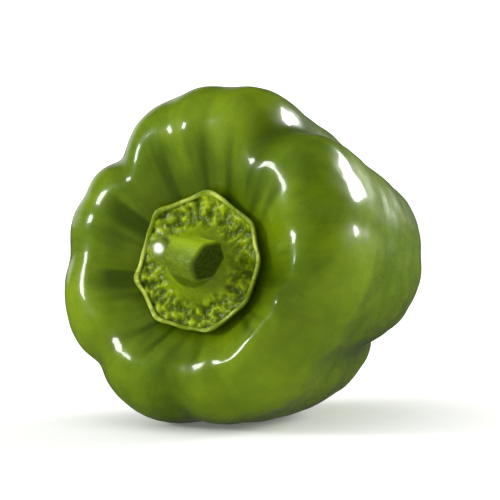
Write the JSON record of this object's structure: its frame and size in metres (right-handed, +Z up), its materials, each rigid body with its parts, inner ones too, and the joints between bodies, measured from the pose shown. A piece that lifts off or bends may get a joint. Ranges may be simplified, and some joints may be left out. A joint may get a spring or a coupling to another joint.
{
  "type": "bell pepper",
  "caption": "Whole green bell pepper lying on its side, with lobed shoulders, a cornered calyx in its hollow and a short bent stem.",
  "frame": {"origin": "middle of the base of the pepper's box, on the surface that it lies on", "axes": "+Z up; the fruit's own axis lies along Y, with the stem end towards -Y and leaning up by about 12 degrees"},
  "size_m": [0.0832, 0.1048, 0.0858],
  "materials": {
    "skin": "glossy waxy green skin",
    "stem": "satin yellow-green calyx and stem"
  },
  "bodies": {
    "root": {"fruit": "skin", "calyx_and_stem": "stem"}
  },
  "joints": []
}
